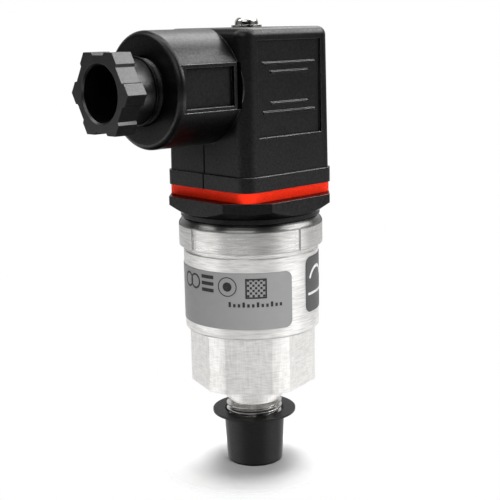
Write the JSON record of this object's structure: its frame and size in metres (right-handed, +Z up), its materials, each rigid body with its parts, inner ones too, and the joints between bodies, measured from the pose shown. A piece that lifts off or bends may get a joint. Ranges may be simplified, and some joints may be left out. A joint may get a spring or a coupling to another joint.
{
  "type": "pressure transmitter",
  "caption": "Stainless pressure transmitter with hexagon, threaded port under a push-on cap, and a right-angle screwed plug with cable gland.",
  "frame": {"origin": "on the pressure port's axis, at the sealing face under the hexagon", "axes": "+Z up along the port axis to the plug's fixing screw, -Z out of the port through the cap, -X out of the cable gland, -Y the panel that the picture shows"},
  "size_m": [0.0574, 0.0332, 0.1033],
  "materials": {
    "stainless_steel": "turned, fine lines round the axis",
    "black_plastic": "fine grained moulding",
    "cap_plastic": "soft moulded, half matt",
    "red_silicone": "smooth silicone",
    "black_rubber": "matt rubber",
    "brass": "bare brass",
    "tinned_brass": "tin plated",
    "plated_steel": "zinc plated",
    "board_laminate": "solder mask",
    "chip_plastic": "moulded packages",
    "wire_insulation": "insulated leads",
    "grey_film": "printed film",
    "dark_film": "printed film"
  },
  "bodies": {
    "transmitter": {"pressure_connector": "stainless_steel", "stem_thread": "stainless_steel", "body_tube": "stainless_steel", "lock_ring": "stainless_steel", "base_seal": "black_rubber", "sensor_cell": "stainless_steel", "sensor_seal": "black_rubber", "sensor_clamp_ring": "stainless_steel", "sensor_pins": "brass", "board_ring": "black_plastic", "circuit_board": "board_laminate", "board_parts": "chip_plastic", "lead_wires": "wire_insulation", "connector_base": "black_plastic", "contact_blade_1": "tinned_brass", "contact_blade_2": "tinned_brass", "contact_blade_3": "tinned_brass", "earth_blade": "tinned_brass", "threaded_insert": "brass", "grey_label": "grey_film", "dark_label": "dark_film"},
    "cap": {"protective_cap": "cap_plastic"},
    "plug": {"flange_gasket": "red_silicone", "plug_housing": "black_plastic", "contact_carrier": "black_plastic", "terminal_1": "tinned_brass", "terminal_2": "tinned_brass", "terminal_3": "tinned_brass", "earth_terminal": "tinned_brass", "clamp_plates": "plated_steel", "clamp_screws": "plated_steel", "cable_seal": "black_rubber"},
    "washer": {"screw_washer": "plated_steel"},
    "screw": {"fixing_screw": "plated_steel"},
    "gland_washer": {"thrust_washer": "black_plastic"},
    "nut": {"gland_nut": "black_plastic", "nut_thread": "black_plastic"}
  },
  "joints": [
    {"name": "cap_pull", "type": "slide", "parent": "transmitter", "child": "cap", "axis": [0, 0, -1], "range_m": [0, 0.02]},
    {"name": "plug_pull", "type": "slide", "parent": "transmitter", "child": "plug", "axis": [0, 0, 1], "range_m": [0, 0.025]},
    {"name": "screw_rise", "type": "slide", "parent": "plug", "child": "washer", "axis": [0, 0, 1], "range_m": [0, 0.006]},
    {"name": "screw_turn", "type": "hinge", "parent": "washer", "child": "screw", "pos_m": [0, 0, 0.0815], "axis": [0, 0, 1], "range_deg": [0, 4320]},
    {"name": "nut_travel", "type": "slide", "parent": "plug", "child": "gland_washer", "axis": [-1, 0, 0], "range_m": [-0.0039, 0.0076]},
    {"name": "nut_turn", "type": "hinge", "parent": "gland_washer", "child": "nut", "pos_m": [-0.0385, 0, 0.0686], "axis": [-1, 0, 0], "range_deg": [-1003, 1955]}
  ],
  "couplings": [
    {"joint": "screw_turn", "follows": "screw_rise", "rad_per_m": 12566},
    {"joint": "nut_turn", "follows": "nut_travel", "rad_per_m": 4488}
  ]
}
